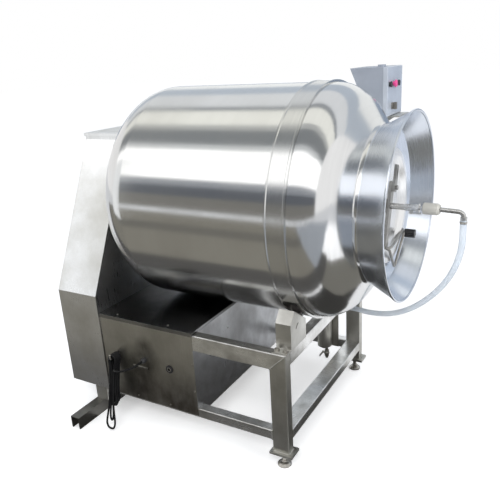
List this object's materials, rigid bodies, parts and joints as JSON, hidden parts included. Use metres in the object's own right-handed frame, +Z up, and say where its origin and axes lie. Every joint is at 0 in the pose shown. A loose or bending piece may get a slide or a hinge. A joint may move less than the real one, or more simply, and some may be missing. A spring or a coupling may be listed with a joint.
{
  "type": "meat vacuum tumbler",
  "caption": "Stainless tumbler for marinating meat under vacuum: a horizontal drum with a funnel mouth, turned by a chain drive on a welded frame.",
  "frame": {"origin": "on the floor, under the drum axis, in the middle of the length", "axes": "+X along the drum axis towards the mouth, +Y towards the control box side, +Z up"},
  "size_m": [1.913, 1.3733, 1.693],
  "materials": {
    "drum_steel": "circumferentially brushed stainless steel",
    "frame_steel": "brushed stainless tube",
    "cover_steel": "brushed stainless sheet",
    "lid_steel": "polished stainless steel",
    "fitting_steel": "machined stainless steel",
    "fastener_steel": "zinc plated steel",
    "chain_steel": "oiled chain steel",
    "machine_paint": "enamel paint on cast housing",
    "bearing_paint": "painted cast iron",
    "roller_tyre": "dark polyurethane",
    "gasket_rubber": "white food rubber",
    "grommet_rubber": "black rubber",
    "cable_rubber": "black rubber cable sheath",
    "hose_pvc": "clear bluish PVC",
    "union_plastic": "pale engineering plastic",
    "black_plastic": "black moulded plastic",
    "red_plastic": "red moulded plastic",
    "control_paint": "grey powder coat"
  },
  "bodies": {
    "frame": {"bearing_stands": "frame_steel", "bolts_and_screws": "fastener_steel", "box_front_panel": "cover_steel", "box_side_panels": "cover_steel", "cable_gland": "black_plastic", "cable_hank": "cable_rubber", "cable_hook": "fitting_steel", "control_box": "control_paint", "control_column": "frame_steel", "deck_plate": "cover_steel", "drain_valve": "fastener_steel", "exhaust_grommet": "grommet_rubber", "front_legs": "frame_steel", "gearmotor": "machine_paint", "levelling_feet": "fastener_steel", "liquid_trap": "frame_steel", "low_rails": "frame_steel", "machine_bed": "frame_steel", "mains_cable": "cable_rubber", "pillow_bearings": "bearing_paint", "pump_pipes": "fitting_steel", "rear_foot_channel": "frame_steel", "rear_legs": "frame_steel", "roller_brackets": "frame_steel", "roller_chain": "chain_steel", "top_rails": "frame_steel", "tower_cap": "cover_steel", "tower_rear_cover": "cover_steel", "tower_shell": "cover_steel", "trap_bracket": "frame_steel", "vacuum_hose": "hose_pvc", "vacuum_pump": "machine_paint"},
    "drum": {"drum_shell": "drum_steel", "rear_head": "drum_steel", "front_shoulder": "drum_steel", "mouth_funnel": "drum_steel", "riding_belt": "drum_steel", "mixing_flights": "drum_steel", "drum_shaft": "fitting_steel", "driven_sprocket": "chain_steel", "throat_ring": "drum_steel"},
    "lid": {"lid": "lid_steel", "lid_gasket": "gasket_rubber", "lid_bar": "fitting_steel", "lid_fork": "fitting_steel", "lid_handle": "fitting_steel", "shutoff_valve": "fitting_steel"},
    "clamp_knob": {"clamp_knob": "black_plastic"},
    "valve_lever": {"valve_lever": "fitting_steel"},
    "swivel": {"rotary_union": "union_plastic", "union_elbow": "fitting_steel"},
    "near_roller": {"near_roller": "roller_tyre"},
    "far_roller": {"far_roller": "roller_tyre"},
    "drive_shaft": {"drive_sprocket": "chain_steel"},
    "drain_lever": {"drain_lever": "fastener_steel"},
    "box_door": {"control_box_door": "control_paint"},
    "e_stop": {"e_stop_button": "red_plastic"},
    "start_button": {"start_button": "black_plastic"},
    "stop_button": {"stop_button": "black_plastic"},
    "selector": {"selector_knob": "black_plastic"}
  },
  "joints": [
    {"name": "drum_spin", "type": "hinge", "parent": "frame", "child": "drum", "pos_m": [-0.0195, 0, 1.12], "axis": [1, 0, 0], "continuous": true, "deforming": ["roller_chain"]},
    {"name": "near_roller_spin", "type": "hinge", "parent": "frame", "child": "near_roller", "pos_m": [0.3285, -0.348, 0.65563], "axis": [1, 0, 0], "continuous": true},
    {"name": "far_roller_spin", "type": "hinge", "parent": "frame", "child": "far_roller", "pos_m": [0.3285, 0.348, 0.65563], "axis": [1, 0, 0], "continuous": true},
    {"name": "drive_shaft_spin", "type": "hinge", "parent": "frame", "child": "drive_shaft", "pos_m": [-0.8195, 0, 0.44114], "axis": [1, 0, 0], "continuous": true},
    {"name": "lid_swing", "type": "hinge", "parent": "drum", "child": "lid", "pos_m": [0.6565, -0.282, 1.12], "axis": [0, 0, -1], "range_deg": [0, 100], "deforming": ["vacuum_hose"]},
    {"name": "clamp_knob_turn", "type": "hinge", "parent": "lid", "child": "clamp_knob", "pos_m": [0.6505, 0.21044, 0.93835], "axis": [1, 0, 0], "range_deg": [0, 360]},
    {"name": "valve_lever_turn", "type": "hinge", "parent": "lid", "child": "valve_lever", "pos_m": [0.7285, 0, 1.096], "axis": [0, 0, 1], "range_deg": [0, 90]},
    {"name": "union_spin", "type": "hinge", "parent": "lid", "child": "swivel", "pos_m": [0.7805, 0, 1.12], "axis": [1, 0, 0], "continuous": true},
    {"name": "drain_lever_turn", "type": "hinge", "parent": "frame", "child": "drain_lever", "pos_m": [0.1485, 0.385, 0.109], "axis": [1, 0, 0], "range_deg": [0, 90]},
    {"name": "box_door_swing", "type": "hinge", "parent": "frame", "child": "box_door", "pos_m": [0.4645, 0.6863, 1.56], "axis": [0, 0, 1], "range_deg": [0, 110]},
    {"name": "e_stop_press", "type": "slide", "parent": "box_door", "child": "e_stop", "axis": [-1, 0, 0], "range_m": [0, 0.004], "stiffness_N_per_m": 600},
    {"name": "start_press", "type": "slide", "parent": "box_door", "child": "start_button", "axis": [-1, 0, 0], "range_m": [0, 0.004], "stiffness_N_per_m": 400},
    {"name": "stop_press", "type": "slide", "parent": "box_door", "child": "stop_button", "axis": [-1, 0, 0], "range_m": [0, 0.004], "stiffness_N_per_m": 400},
    {"name": "selector_turn", "type": "hinge", "parent": "box_door", "child": "selector", "pos_m": [0.4865, 0.512, 1.495], "axis": [1, 0, 0], "range_deg": [-60, 60]}
  ],
  "couplings": [
    {"joint": "near_roller_spin", "follows": "drum_spin", "ratio": -10.6},
    {"joint": "far_roller_spin", "follows": "drum_spin", "ratio": -10.6},
    {"joint": "drive_shaft_spin", "follows": "drum_spin", "ratio": 2},
    {"joint": "union_spin", "follows": "drum_spin", "ratio": -1}
  ]
}
